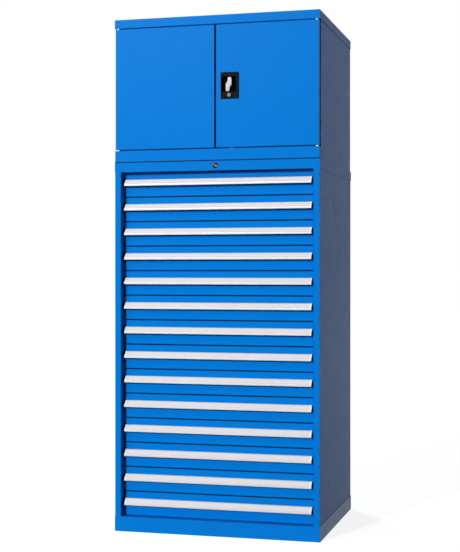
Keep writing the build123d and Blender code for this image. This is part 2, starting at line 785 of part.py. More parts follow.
# Latch plate: a flange on the door, with a cup behind it for the wing and a boss for the key plug
def latch_plate():
    half = latch_plate_width / 2
    tall = latch_plate_height / 2
    plate_middle = latch_from_middle + latch_plate_offset
    cup_x = (latch_from_middle - cup_width / 2, latch_from_middle + cup_width / 2)
    cup_z = (wing_z - cup_height / 2, wing_z + cup_height / 2)
    with BuildPart() as plate:
        block((plate_middle - half, plate_middle + half), (-hardware_proud, 0),
              (latch_z - tall, latch_z + tall))
        fillet(plate.edges().filter_by(Axis.Y), latch_plate_radius)
        chamfer(plate.faces().sort_by(Axis.Y)[0].edges(), latch_plate_chamfer)
        block((cup_x[0] - cup_wall, cup_x[1] + cup_wall), (0, cup_depth + cup_wall),
              (cup_z[0] - cup_wall, cup_z[1] + cup_wall))
        rod_along_y(key_x, key_z, key_boss_radius, (0, key_boss_depth))
        block(cup_x, (-hardware_proud, cup_depth), cup_z, Mode.SUBTRACT)
        rod_along_y(latch_from_middle, wing_z, spindle_radius + turning_clearance,
                    (cup_depth, cup_depth + cup_wall), Mode.SUBTRACT)
        rod_along_y(key_x, key_z, key_plug_radius + turning_clearance,
                    (-hardware_proud, key_boss_depth), Mode.SUBTRACT)
    write(plate, "latch_plate")


# Wing: the twisted turn handle on its spindle, standing upright in the cup
def latch_wing():
    face_depth = wing_below_plate_face - hardware_proud
    shift = wing_lobe_shift
    lobe = wing_lobe_radius
    waist = wing_lobe_shift + wing_lobe_radius
    waist_end = wing_waist_height + wing_waist_slope
    outline = [(shift - lobe, wing_lobe_height), (waist, wing_lobe_height),
               (waist, -wing_waist_height), (lobe - shift, -waist_end),
               (lobe - shift, -wing_lobe_height), (-waist, -wing_lobe_height),
               (-waist, wing_waist_height), (shift - lobe, waist_end)]
    with BuildPart() as wing:
        with BuildSketch(Plane.XZ.offset(-at_depth(face_depth))):
            with Locations((latch_from_middle, wing_z)):
                Polygon(*outline, align=None)
            with Locations((latch_from_middle + shift, wing_z + wing_lobe_height),
                           (latch_from_middle - shift, wing_z - wing_lobe_height)):
                Circle(lobe)
        extrude(amount=-wing_thickness)
        fillet(wing.faces().sort_by(Axis.Y)[0].edges(), wing_edge_radius)
        rod_along_y(latch_from_middle, wing_z, spindle_radius,
                    (face_depth + wing_thickness, spindle_end_depth))
    write(wing, "latch_wing")


# Cam behind the wing's spindle, with a pin for each rod
def latch_cam():
    pin_step = latch_pin_swing * math.sin(half_turn)
    cam_back = spindle_end_depth + latch_cam_thickness
    pin_back = rod_front_depth + rod_thickness + latch_pin_end
    with BuildPart() as cam:
        rod_along_y(latch_from_middle, wing_z, latch_cam_radius, (spindle_end_depth, cam_back))
        for sign in (-1, 1):
            rod_along_y(latch_from_middle + sign * pin_step, wing_z + sign * pin_step,
                        latch_pin_radius, (cam_back, pin_back))
    write(cam, "latch_cam")


# Latch rods: a flat bar up and a flat bar down, each slotted for its pin
def latch_rods():
    pin_near = latch_pin_swing * math.cos(half_turn)
    slot_reach = latch_pin_radius + rod_slot_clearance
    depths = (rod_front_depth, rod_front_depth + rod_thickness)
    for name, sign, middle_x in (("latch_rod_upper", -1, rod_up_x), ("latch_rod_lower", 1, rod_down_x)):
        pin_z = wing_z + sign * pin_near
        foot_z = pin_z + sign * rod_foot
        tip_z = lid_bottom - rod_end_play if sign < 0 else fascia_top + rod_end_play
        slot_x = sorted((latch_from_middle + sign * (pin_near - slot_reach),
                         latch_from_middle + sign * (latch_pin_swing + slot_reach)))
        with BuildPart() as rod:
            block((middle_x - rod_width / 2, middle_x + rod_width / 2), depths, sorted((foot_z, tip_z)))
            block(slot_x, depths, (pin_z - slot_reach, pin_z + slot_reach), Mode.SUBTRACT)
        write(rod, name)

    wall = rod_guide_wall
    play = rod_guide_clearance
    inner = rod_width / 2 + play
    outer = inner + wall
    upper_guide = (rod_up_x, door_top - rod_guide_inset)
    lower_guide = (rod_down_x, door_bottom + rod_guide_inset)
    with BuildPart() as guides:
        for middle_x, middle_z in (upper_guide, lower_guide):
            guide_z = (middle_z - rod_guide_height / 2, middle_z + rod_guide_height / 2)
            block((middle_x - outer, middle_x + outer), (door_thickness, depths[1] + play + wall), guide_z)
            block((middle_x - inner, middle_x + inner), (depths[0] - play, depths[1] + play), guide_z,
                  Mode.SUBTRACT)
    write(guides, "latch_rod_guides")


# Key plug of the latch, with its tail
def latch_key_plug():
    tail_end = key_boss_depth + key_tail_thickness
    with BuildPart() as plug:
        rod_along_y(key_x, key_z, key_plug_radius, (-hardware_proud, key_boss_depth))
        fillet(plug.faces().sort_by(Axis.Y)[0].edges(), key_plug_edge)
        block((key_x - key_tail_length, key_x + key_tail_width / 2),
              (key_boss_depth, tail_end), (key_z - key_tail_width / 2, key_z + key_tail_width / 2))
        block((key_x - key_slot_width / 2, key_x + key_slot_width / 2),
              (-hardware_proud, key_slot_depth),
              (key_z - latch_key_slot_length / 2, key_z + latch_key_slot_length / 2), Mode.SUBTRACT)
    write(plug, "latch_key_plug")


os.makedirs("parts", exist_ok=True)
base_plinth()
side_panels()
back_panel()
top_cover()
rail_uprights()
cabinet_rails()
for drawer_number in range(1, drawer_count + 1):
    drawer_tray(drawer_number)
    drawer_handle(drawer_number)
main_lock()
lock_bar()
cupboard_shell()
cupboard_floor()
cupboard_lid()
joining_bolts()
shelf()
door("door_left", -1)
door("door_right", 1)
pivot_pins()
latch_plate()
latch_wing()
latch_cam()
latch_rods()
latch_key_plug()
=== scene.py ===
"""Looks and stage of a tall parts cabinet: fourteen drawers under a two-door cupboard.

The frame holds every steel piece in its place. This file paints those pieces, gives each drawer an
aluminium handle with a label strip and black end caps, gives the latch its rounded wing and the back
panel its cross-head screws, and sets up the floor, the lights and the camera.
Lengths are in metres, X to the right, Y to the back and Z up.
"""

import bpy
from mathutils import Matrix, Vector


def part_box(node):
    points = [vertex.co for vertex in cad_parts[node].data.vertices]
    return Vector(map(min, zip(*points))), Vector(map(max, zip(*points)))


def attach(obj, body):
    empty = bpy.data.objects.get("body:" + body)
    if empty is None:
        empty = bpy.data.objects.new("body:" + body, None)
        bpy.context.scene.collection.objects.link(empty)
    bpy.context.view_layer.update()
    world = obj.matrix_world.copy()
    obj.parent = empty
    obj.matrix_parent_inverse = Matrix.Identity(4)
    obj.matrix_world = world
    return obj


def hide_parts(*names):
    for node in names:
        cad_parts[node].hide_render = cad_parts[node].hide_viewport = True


bl_info = {
    "name": "Parts Drawer Cabinet",
    "version": (1, 0, 0),
    "blender": (4, 5, 0),
    "location": "3D View > Sidebar > Cabinet",
    "description": "Paint, handles, latch, screws and stage of a tall parts cabinet",
    "category": "Object",
}

import math

import bpy
import numpy as np

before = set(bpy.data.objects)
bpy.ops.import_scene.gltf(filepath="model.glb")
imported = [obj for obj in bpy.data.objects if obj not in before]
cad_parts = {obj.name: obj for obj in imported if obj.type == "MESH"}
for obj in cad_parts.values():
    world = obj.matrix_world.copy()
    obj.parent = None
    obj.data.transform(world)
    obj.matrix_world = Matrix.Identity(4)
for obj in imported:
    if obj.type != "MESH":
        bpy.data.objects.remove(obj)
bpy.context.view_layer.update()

DRAWER_COUNT = len([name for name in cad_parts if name.endswith("_tray")])

# Twice this length is the pitch of a seam that should show only once
ROOM = 10.0

# Shine of the powder coat and of the glossier base
COAT_SHINE = 0.009
BASE_SHINE = 0.034

# Painted shade along the seams, dark as the shadow in their gaps: its colour, the soft edge of a
# seam, and the seams' half widths. The doors' seam reaches past the edge of each door by the margin.
SEAM_SHADE_COLOUR = (0.004, 0.004, 0.005)
SEAM_BLUR = 0.0007
COVER_SEAM = 0.0021
DRAWER_SEAM = 0.0026
DOOR_SEAM_MARGIN = 0.0006

# Painted reflection band on the main lock's face: its tilt from the level, its soft edge and its half size
BAND_TILT = math.radians(-32)
BAND_BLUR = 0.0006
BAND_HALF_WIDTH = 0.0042
BAND_HALF_LENGTH = 0.0095


# Properties that a user would change

class CabinetPaint(bpy.types.PropertyGroup):
    """Powder coat of the body, the doors and the drawers."""
    colour: bpy.props.FloatVectorProperty(
        name="Blue", description="Colour of the powder coat", subtype="COLOR", size=3,
        default=(0.0006, 0.188, 0.650), min=0, max=1)
    shade: bpy.props.FloatVectorProperty(
        name="Deep Blue", description="Darker shade that drifts through the powder coat", subtype="COLOR",
        size=3, default=(0.0003, 0.183, 0.636), min=0, max=1)
    dust: bpy.props.FloatVectorProperty(
        name="Dust", description="Colour of rubbed and dusty spots", subtype="COLOR", size=3,
        default=(0.020, 0.215, 0.640), min=0, max=1)
    grain: bpy.props.FloatProperty(
        name="Grain", description="Width of the bumps in the powder coat", subtype="DISTANCE", unit="LENGTH",
        default=0.0016, min=0.0002, max=0.01)
    relief: bpy.props.FloatProperty(
        name="Relief", description="Height of the bumps in the powder coat", subtype="DISTANCE",
        unit="LENGTH", default=0.00006, min=0, max=0.001)
    # Share of painted shade that darkens the narrow seams
    seam_shade_share: bpy.props.FloatProperty(
        name="Seam Dirt", description="Share of dark dirt in the narrow seams", default=0.88, min=0,
        max=1)


class CabinetMetal(bpy.types.PropertyGroup):
    """Bare and plated metals."""
    aluminium: bpy.props.FloatVectorProperty(
        name="Aluminium", description="Colour of the handles", subtype="COLOR", size=3,
        default=(0.62, 0.605, 0.61), min=0, max=1)
    zinc: bpy.props.FloatVectorProperty(
        name="Zinc", description="Colour of the rails, the lock bar and the screws", subtype="COLOR", size=3,
        default=(0.52, 0.54, 0.57), min=0, max=1)
    ring: bpy.props.FloatVectorProperty(
        name="Lock Nickel", description="Colour of the dark nickel of the main lock", subtype="COLOR",
        size=3, default=(0.004, 0.004, 0.006), min=0, max=1)
    # Colour of the painted reflection band across the main lock's face
    plug: bpy.props.FloatVectorProperty(
        name="Rubbed Nickel", description="Colour of the rubbed band across the main lock", subtype="COLOR",
        size=3, default=(0.085, 0.08, 0.09), min=0, max=1)
    key_plug: bpy.props.FloatVectorProperty(
        name="Latch Key Plug", description="Colour of the latch's key plug", subtype="COLOR", size=3,
        default=(0.080, 0.080, 0.100), min=0, max=1)
    wing: bpy.props.FloatVectorProperty(
        name="Latch Wing", description="Colour of the latch's cast wing", subtype="COLOR", size=3,
        default=(0.51, 0.485, 0.49), min=0, max=1)


class CabinetPlastic(bpy.types.PropertyGroup):
    """Moulded plastics."""
    cap: bpy.props.FloatVectorProperty(
        name="End Cap", description="Colour of the handles' end caps", subtype="COLOR", size=3,
        default=(0.003, 0.003, 0.004), min=0, max=1)
    strip: bpy.props.FloatVectorProperty(
        name="Label Strip", description="Colour of the strip that covers the blank label", subtype="COLOR",
        size=3, default=(0.81, 0.785, 0.775), min=0, max=1)
    plate: bpy.props.FloatVectorProperty(
        name="Latch Plate", description="Colour of the latch plate", subtype="COLOR", size=3,
        default=(0.0065, 0.0065, 0.008), min=0, max=1)
    # Painted shade: the cup is a darker copy of the plate's plastic, dark as the shadow in its hollow
    cup: bpy.props.FloatVectorProperty(
        name="Latch Cup", description="Colour of the matt hollow behind the wing", subtype="COLOR", size=3,
        default=(0.0016, 0.0015, 0.0022), min=0, max=1)


class CabinetHandle(bpy.types.PropertyGroup):
    """Section of the drawer handles."""
    wall: bpy.props.FloatProperty(
        name="Wall", description="Thickness of the aluminium profile", subtype="DISTANCE", unit="LENGTH",
        default=0.002, min=0.001, max=0.004)
    top_reach: bpy.props.FloatProperty(
        name="Top Reach", description="Depth of the flat top of the profile", subtype="DISTANCE",
        unit="LENGTH", default=0.005, min=0.002, max=0.012)
    lip: bpy.props.FloatProperty(
        name="Lip", description="Height of the upright lip in front", subtype="DISTANCE", unit="LENGTH",
        default=0.008, min=0.004, max=0.014)
    back_height: bpy.props.FloatProperty(
        name="Back", description="Height of the wall that lies on the drawer front", subtype="DISTANCE",
        unit="LENGTH", default=0.019, min=0.006, max=0.028)
    channel_depth: bpy.props.FloatProperty(
        name="Channel Depth", description="Depth of the label channel in the sloping face",
        subtype="DISTANCE", unit="LENGTH", default=0.0004, min=0, max=0.001)
    channel_end: bpy.props.FloatProperty(
        name="Channel End", description="Bare length of the profile beyond the label channel",
        subtype="DISTANCE", unit="LENGTH", default=0.0095, min=0.002, max=0.05)
    groove_depth: bpy.props.FloatProperty(
        name="Groove Depth", description="Depth of the groove along the middle of the channel",
        subtype="DISTANCE", unit="LENGTH", default=0.0003, min=0, max=0.001)
    groove_width: bpy.props.FloatProperty(
        name="Groove Width", description="Width of the groove along the middle of the channel",
        subtype="DISTANCE", unit="LENGTH", default=0.0008, min=0.0004, max=0.004)
    cap_width: bpy.props.FloatProperty(
        name="End Cap Width", description="Length of the plastic cap at each end", subtype="DISTANCE",
        unit="LENGTH", default=0.006, min=0.002, max=0.02)
    cap_gap: bpy.props.FloatProperty(
        name="End Cap Gap", description="Seam between the profile and its cap", subtype="DISTANCE",
        unit="LENGTH", default=0.00015, min=0.0001, max=0.002)


class CabinetLatch(bpy.types.PropertyGroup):
    """Shape of the latch's wing."""
    lobe: bpy.props.FloatProperty(
        name="Lobe", description="Radius of the wing's round ends", subtype="DISTANCE", unit="LENGTH",
        default=0.0084, min=0.004, max=0.012)
    waist: bpy.props.FloatProperty(
        name="Waist", description="Height over which the wing steps from one side to the other",
        subtype="DISTANCE", unit="LENGTH", default=0.012, min=0.004, max=0.02)
    thickness: bpy.props.FloatProperty(
        name="Thickness", description="Thickness of the wing", subtype="DISTANCE", unit="LENGTH",
        default=0.009, min=0.004, max=0.012)
    crown: bpy.props.FloatProperty(
        name="Crown", description="Depth of the rounding around the wing's front", subtype="DISTANCE",
        unit="LENGTH", default=0.0022, min=0.0005, max=0.004)
    spindle: bpy.props.FloatProperty(
        name="Spindle", description="Radius of the spindle behind the wing", subtype="DISTANCE",
        unit="LENGTH", default=0.008, min=0.003, max=0.008)


class CabinetStage(bpy.types.PropertyGroup):
    """Camera, lights and floor."""
    camera_place: bpy.props.FloatVectorProperty(
        name="Camera Place", description="Where the camera stands", subtype="TRANSLATION",
        unit="LENGTH", size=3, default=(1.356, -5.1675, 1.058))
    camera_turn: bpy.props.FloatProperty(
        name="Camera Turn", description="Turn of the level camera to the left", subtype="ANGLE",
        unit="ROTATION", default=math.radians(15.07))
    lens: bpy.props.FloatProperty(
        name="Lens", description="Focal length for a 36 mm long side", subtype="DISTANCE_CAMERA",
        default=81.73, min=10, max=300)
    shift: bpy.props.FloatProperty(
        name="Shift", description="Upward shift of the picture, in long sides", default=-0.00875,
        min=-1, max=1)
    key_level: bpy.props.FloatProperty(
        name="Key Light", description="Share of its colour that a facing surface shows in the light in front",
        default=0.88, min=0, max=2)
    back_level: bpy.props.FloatProperty(
        name="Back Light", description="The same share for the light behind on the left", default=0.55,
        min=0, max=2)
    side_power: bpy.props.FloatProperty(
        name="Side Light", description="Power of the soft light above on the left", subtype="POWER",
        unit="POWER", default=30.0, min=0)
    sky_level: bpy.props.FloatProperty(
        name="Room Light", description="Level of the even light from all round", default=0.07, min=0, max=2)
    floor_colour: bpy.props.FloatVectorProperty(
        name="Floor", description="Colour of the floor", subtype="COLOR", size=3, default=(0.38, 0.38, 0.38),
        min=0, max=1)
    floor_lift: bpy.props.FloatProperty(
        name="Floor Lift", description="How far the floor is lifted to white for the camera", default=0.87,
        min=0, max=1)


# Node helpers

def shader_tree(name):
    """A new material with its node tree and its surface shader."""
    material = bpy.data.materials.new(name)
    material.use_nodes = True
    tree = material.node_tree
    return material, tree, tree.nodes["Principled BSDF"]


def add_node(tree, kind, settings=None, **sockets):
    """A node with attributes from settings and socket values by name, with _ for a space."""
    made = tree.nodes.new(kind)
    for key, value in (settings or {}).items():
        setattr(made, key, value)
    for key, value in sockets.items():
        made.inputs[key.replace("_", " ")].default_value = value
    return made


def placed_noise(tree, scale, detail, stretch=(1, 1, 1), roughness=0.5):
    """The factor of a noise on the piece's own coordinates, squeezed along each axis by stretch."""
    place = add_node(tree, "ShaderNodeTexCoord")
    mapping = add_node(tree, "ShaderNodeMapping", Scale=stretch)
    noise = add_node(tree, "ShaderNodeTexNoise", Scale=scale, Detail=detail, Roughness=roughness)
    tree.links.new(place.outputs["Object"], mapping.inputs["Vector"])
    tree.links.new(mapping.outputs["Vector"], noise.inputs["Vector"])
    return noise.outputs["Fac"]


def ranged(tree, source, low, high, to_low, to_high):
    """A value mapped from one range to another and kept inside it."""
    made = add_node(tree, "ShaderNodeMapRange", From_Min=low, From_Max=high, To_Min=to_low, To_Max=to_high)
    tree.links.new(source, made.inputs["Value"])
    return made.outputs["Result"]


def mixed(tree, factor, first, second):
    """A colour between two colours, which are sockets or plain colours.

    In a mix node's colour mode inputs 6 and 7 are its two colours and output 2 is its result.
    """
    made = add_node(tree, "ShaderNodeMix", {"data_type": "RGBA"})
    tree.links.new(factor, made.inputs["Factor"])
    for socket, colour in ((made.inputs[6], first), (made.inputs[7], second)):
        if isinstance(colour, bpy.types.NodeSocket):
            tree.links.new(colour, socket)
        else:
            socket.default_value = (*colour, 1)
    return made.outputs[2]


def relief(tree, shader, source, height, strength):
    """A bump of that height in metres on the shader."""
    made = add_node(tree, "ShaderNodeBump", Strength=strength, Distance=height)
    tree.links.new(source, made.inputs["Height"])
    tree.links.new(made.outputs["Normal"], shader.inputs["Normal"])


def scaled(colour, share):
    """A colour with each channel multiplied by a share."""
    return tuple(channel * share for channel in colour)


# Finishes

def painted_seam_shade(tree, seam, paint, body):
    """The colour of the coat with painted shade along straight seams, dark as the shadow in their gaps.

    A seam is an axis, a place on it, the pitch at which it repeats and its half width. The distance
    to the nearest one is a triangle wave of the coordinate on that axis.
    """
    axis, middle, pitch, half = seam
    place = add_node(tree, "ShaderNodeTexCoord")
    parts = add_node(tree, "ShaderNodeSeparateXYZ")
    tree.links.new(place.outputs["Object"], parts.inputs[0])
    offset = add_node(tree, "ShaderNodeMath", {"operation": "SUBTRACT"})
    tree.links.new(parts.outputs[axis], offset.inputs[0])
    offset.inputs[1].default_value = middle
    distance = add_node(tree, "ShaderNodeMath", {"operation": "PINGPONG"})
    tree.links.new(offset.outputs[0], distance.inputs[0])
    distance.inputs[1].default_value = pitch / 2
    shade_amount = ranged(tree, distance.outputs[0], half - SEAM_BLUR, half + SEAM_BLUR, paint.seam_shade_share, 0)
    return mixed(tree, shade_amount, body, SEAM_SHADE_COLOUR)


def powder_coat(name, paint, seam=None, shine=COAT_SHINE):
    """Semi-gloss blue powder coat: fine pebbled relief, a slow drift of shade, rubbed specks."""
    material, tree, shader = shader_tree(name)
    shader.inputs["Specular IOR Level"].default_value = shine
    drift = ranged(tree, placed_noise(tree, 2.5, 3), 0.35, 0.65, 0, 1)
    body = mixed(tree, drift, paint.colour, paint.shade)
    specks = ranged(tree, placed_noise(tree, 90, 5, (1, 1, 0.4), 0.65), 0.68, 0.80, 0, 0.4)
    coat = mixed(tree, specks, body, paint.dust)
    # Painted shade along the seam, where one is given
    if seam is not None:
        coat = painted_seam_shade(tree, seam, paint, coat)
    tree.links.new(coat, shader.inputs["Base Color"])
    gloss = ranged(tree, placed_noise(tree, 14, 4), 0.3, 0.7, 0.27, 0.33)
    tree.links.new(gloss, shader.inputs["Roughness"])
    relief(tree, shader, placed_noise(tree, 1 / paint.grain, 2), paint.relief, 0.6)
    return material


def drawn_aluminium(name, metal, lift=1.0):
    """Matt anodised aluminium drawn along X: long fine streaks in its gloss and its relief."""
    colour = scaled(metal.aluminium, lift)
    material, tree, shader = shader_tree(name)
    shader.inputs["Metallic"].default_value = 0.12
    streaks = placed_noise(tree, 900, 3, (0.006, 1, 1))
    cloud = placed_noise(tree, 18, 3)
    tint = ranged(tree, cloud, 0.3, 0.7, 0, 1)
    tree.links.new(mixed(tree, tint, colour, scaled(colour, 0.93)), shader.inputs["Base Color"])
    tree.links.new(ranged(tree, streaks, 0.3, 0.7, 0.34, 0.44), shader.inputs["Roughness"])
    relief(tree, shader, streaks, 0.00002, 0.5)
    return material


def zinc_plate(name, metal):
    """Zinc-plated steel: faint crystals, dull patches and fine rolling lines."""
    material, tree, shader = shader_tree(name)
    shader.inputs["Metallic"].default_value = 1.0
    place = add_node(tree, "ShaderNodeTexCoord")
    crystals = add_node(tree, "ShaderNodeTexVoronoi", Scale=160.0)
    tree.links.new(place.outputs["Object"], crystals.inputs["Vector"])
    shine = ranged(tree, crystals.outputs["Color"], 0, 1, 0, 1)
    tree.links.new(mixed(tree, shine, metal.zinc, scaled(metal.zinc, 0.82)), shader.inputs["Base Color"])
    tree.links.new(ranged(tree, placed_noise(tree, 30, 4), 0.3, 0.7, 0.3, 0.5), shader.inputs["Roughness"])
    relief(tree, shader, placed_noise(tree, 700, 2, (1, 0.05, 1)), 0.00002, 0.4)
    return material


def plated_brass(name, colour, gloss):
    """Plated brass: hairline scratches and a finger-dulled bloom."""
    material, tree, shader = shader_tree(name)
    shader.inputs["Metallic"].default_value = 1.0
    scratches = placed_noise(tree, 1500, 3, (1, 1, 0.05))
    bloom = ranged(tree, placed_noise(tree, 120, 3), 0.3, 0.7, 0, 1)
    tree.links.new(mixed(tree, bloom, colour, scaled(colour, 0.8)), shader.inputs["Base Color"])
    tree.links.new(ranged(tree, scratches, 0.3, 0.7, gloss, gloss + 0.18), shader.inputs["Roughness"])
    relief(tree, shader, scratches, 0.00001, 0.4)
    return material


def painted_reflection_band(tree, middle, direction, half_width, half_length):
    """One inside a band across a lock's face, zero outside it.

    The band is centred on a point in X and Z and runs along a direction in that plane. The distance
    along it and across it are dot products with the direction and with its normal.
    """
    place = add_node(tree, "ShaderNodeTexCoord")
    across = (direction[1], 0, -direction[0])
    along = (direction[0], 0, direction[1])
    shares = []
    for axis, half in ((across, half_width), (along, half_length)):
        product = add_node(tree, "ShaderNodeVectorMath", {"operation": "DOT_PRODUCT"})
        tree.links.new(place.outputs["Object"], product.inputs[0])
        product.inputs[1].default_value = axis
        offset = add_node(tree, "ShaderNodeMath", {"operation": "SUBTRACT"})
        tree.links.new(product.outputs["Value"], offset.inputs[0])
        offset.inputs[1].default_value = axis[0] * middle[0] + axis[2] * middle[1]
        distance = add_node(tree, "ShaderNodeMath", {"operation": "ABSOLUTE"})
        tree.links.new(offset.outputs[0], distance.inputs[0])
        shares.append(ranged(tree, distance.outputs[0], half - BAND_BLUR, half + BAND_BLUR, 1, 0))
    both = add_node(tree, "ShaderNodeMath", {"operation": "MULTIPLY"})
    tree.links.new(shares[0], both.inputs[0])
    tree.links.new(shares[1], both.inputs[1])
    return both.outputs[0]


def nickel_with_painted_reflection(name, metal, middle):
    """Dark nickel of the main lock with a painted reflection, a bright band down to the right across its
    face.
    """
    material, tree, shader = shader_tree(name)
    shader.inputs["Metallic"].default_value = 0.6
    shader.inputs["Specular IOR Level"].default_value = 0.06
    scratches = placed_noise(tree, 1500, 3, (1, 1, 0.05))
    direction = (math.cos(BAND_TILT), math.sin(BAND_TILT))
    band = painted_reflection_band(tree, middle, direction, BAND_HALF_WIDTH, BAND_HALF_LENGTH)
    tree.links.new(mixed(tree, band, metal.ring, metal.plug), shader.inputs["Base Color"])
    tree.links.new(ranged(tree, scratches, 0.3, 0.7, 0.4, 0.58), shader.inputs["Roughness"])
    relief(tree, shader, scratches, 0.00001, 0.4)
    return material


def cast_zinc(name, colour):
    """Lacquered zinc casting: a soft orange-peel relief and a few duller places."""
    material, tree, shader = shader_tree(name)
    shader.inputs["Metallic"].default_value = 0.1
    shader.inputs["Specular IOR Level"].default_value = 0.25
    dull = ranged(tree, placed_noise(tree, 90, 3), 0.35, 0.7, 0, 1)
    tree.links.new(mixed(tree, dull, colour, scaled(colour, 0.88)), shader.inputs["Base Color"])
    tree.links.new(ranged(tree, placed_noise(tree, 300, 3), 0.3, 0.7, 0.42, 0.56), shader.inputs["Roughness"])
    relief(tree, shader, placed_noise(tree, 450, 2), 0.00003, 0.5)
    return material


def moulded_plastic(name, colour, dull, gloss, grain, shine):
    """Moulded plastic with an eroded grain, duller where hands have rubbed it."""
    material, tree, shader = shader_tree(name)
    shader.inputs["Specular IOR Level"].default_value = shine
    wear = ranged(tree, placed_noise(tree, 60, 4), 0.35, 0.7, 0, 1)
    tree.links.new(mixed(tree, wear, colour, dull), shader.inputs["Base Color"])
    tree.links.new(ranged(tree, placed_noise(tree, 200, 3), 0.3, 0.7, gloss, gloss + 0.14),
                   shader.inputs["Roughness"])
    relief(tree, shader, placed_noise(tree, 1 / grain, 3), 0.00004, 0.6)
    return material


def dress(node_name, *materials):
    """Gives a frame node its finishes in order, in place of the ones it came with."""
    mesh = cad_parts[node_name].data
    mesh.materials.clear()
    for material in materials:
        mesh.materials.append(material)


def face_middles(mesh):
    """The middle of each face as an array of points."""
    middles = np.zeros(len(mesh.polygons) * 3)
    mesh.polygons.foreach_get("center", middles)
    return middles.reshape(-1, 3)


def finish_faces(node_name, chosen):
    """Gives each face of a frame node one of its finishes by the place in their order, from 0."""
    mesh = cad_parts[node_name].data
    mesh.polygons.foreach_set("material_index", chosen.astype(np.int32))
    mesh.update()


# Surfaces worked out as arrays

def rounded_loop(corners, radii, steps=6):
    """A closed outline with an arc at each corner.

    At each corner the two directions to its neighbours give half the angle between them. The arc
    starts at radius / tan(half angle) from the corner on either side, and its points are
    centre + radius * (cos, sin) between those two starts, turned the shorter way.
    """
    corners = np.asarray(corners, float)
    radii = np.asarray(radii, float)[:, None]
    to_last = np.roll(corners, 1, 0) - corners
    to_next = np.roll(corners, -1, 0) - corners
    to_last /= np.linalg.norm(to_last, axis=1, keepdims=True)
    to_next /= np.linalg.norm(to_next, axis=1, keepdims=True)
    half = np.arccos(np.clip((to_last * to_next).sum(1), -1, 1))[:, None] / 2
    middle = to_last + to_next
    middle /= np.linalg.norm(middle, axis=1, keepdims=True)
    centres = corners + middle * radii / np.sin(half)
    first = corners + to_last * radii / np.tan(half) - centres
    last = corners + to_next * radii / np.tan(half) - centres
    start = np.arctan2(first[:, 1], first[:, 0])[:, None]
    turn = np.arctan2(last[:, 1], last[:, 0])[:, None] - start
    turn = (turn + np.pi) % (2 * np.pi) - np.pi
    angles = start + turn * np.linspace(0, 1, steps)[None, :]
    points = centres[:, None, :] + radii[:, :, None] * np.stack((np.cos(angles), np.sin(angles)), -1)
    return points.reshape(-1, 2)


def inset(loop, amount):
    """An outline drawn inwards along its normals, which are its chords turned by a right angle.

    The sign of the enclosed area, half the sum of the cross products of neighbouring points, tells
    which side is inside.
    """
    chord = np.roll(loop, -1, 0) - np.roll(loop, 1, 0)
    normal = np.stack((-chord[:, 1], chord[:, 0]), -1)
    normal /= np.linalg.norm(normal, axis=1, keepdims=True)
    ahead = np.roll(loop, -1, 0)
    area = (loop[:, 0] * ahead[:, 1] - loop[:, 1] * ahead[:, 0]).sum() / 2
    return loop + normal * amount * np.sign(area)


def tube_faces(rings, points, first):
    """Side faces and two closing end faces of a tube of rings, counted from its first point."""
    ring = np.arange(rings - 1)[:, None] * points
    step = np.arange(points)[None, :]
    after = (step + 1) % points
    quads = np.stack((ring + step, ring + after, ring + points + after, ring + points + step), -1)
    sides = (quads.reshape(-1, 4) + first).tolist()
    near = (np.arange(points)[::-1] + first).tolist()
    far = (np.arange(points) + (rings - 1) * points + first).tolist()
    return sides + [near, far]


def build(name, tubes, material, body, sharp_angle=30):
    """One object from several closed tubes, each an array of rings by points by three."""
    corners, faces, count = [], [], 0
    for tube in tubes:
        corners.append(tube.reshape(-1, 3))
        faces += tube_faces(tube.shape[0], tube.shape[1], count)
        count += tube.shape[0] * tube.shape[1]
    mesh = bpy.data.meshes.new(name)
    mesh.from_pydata(np.concatenate(corners).tolist(), [], faces)
    face_out(mesh)
    mesh.shade_smooth()
    mesh.set_sharp_from_angle(angle=math.radians(sharp_angle))
    mesh.materials.append(material)
    made = bpy.data.objects.new(name, mesh)
    bpy.context.scene.collection.objects.link(made)
    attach(made, body)
    return made


def face_out(mesh):
    """Turns every face outwards by the sign of the volume of the closed mesh."""
    mesh.update()
    mesh.calc_loop_triangles()
    triangles = np.zeros(len(mesh.loop_triangles) * 3, np.int32)
    mesh.loop_triangles.foreach_get("vertices", triangles)
    points = np.zeros(len(mesh.vertices) * 3)
    mesh.vertices.foreach_get("co", points)
    a, b, c = np.moveaxis(points.reshape(-1, 3)[triangles.reshape(-1, 3)], 1, 0)
    if (a * np.cross(b, c)).sum() < 0:
        mesh.flip_normals()


def along_x(loop, positions, insets):
    """Rings of an outline in Y and Z, one at each X position, each drawn inwards by its inset."""
    rings = [np.insert(inset(loop, amount), 0, x, axis=1) for x, amount in zip(positions, insets)]
    return np.stack(rings)


def along_y(loop, middle, positions, insets):
    """Rings of an outline in X and Z about a middle, one at each Y position, with an inset each."""
    rings = [np.insert(inset(loop, amount) + np.asarray(middle), 1, y, axis=1)
             for y, amount in zip(positions, insets)]
    return np.stack(rings)


def quarter_round(radius):
    """Distances along and inwards of a rounded end, in five steps.

    Over a quarter turn they are radius * sin(angle) and radius * (1 - cos(angle)).
    """
    angle = np.linspace(0, np.pi / 2, 5)
    return radius * np.sin(angle), radius * (1 - np.cos(angle))


# Handles

# Points of the section on its slope and on each corner
SLOPE_POINTS = 96
CORNER_POINTS = 6

# Places on the slope, from 0 at its upper corner to 1 at its lower one
CHANNEL_EDGES = (0.10, 0.92)
GROOVE_PLACE = 0.47

# Length over which the channel starts, rings of a whole profile, and rounding of an end cap
CHANNEL_START = 0.0002
PROFILE_RINGS = 6
CAP_ROUND = 0.0012


def slope_shares():
    """Places of the slope's points between its upper and its lower corner, from 0 to 1."""
    return np.linspace(0, 1, SLOPE_POINTS + 2)[1:-1]


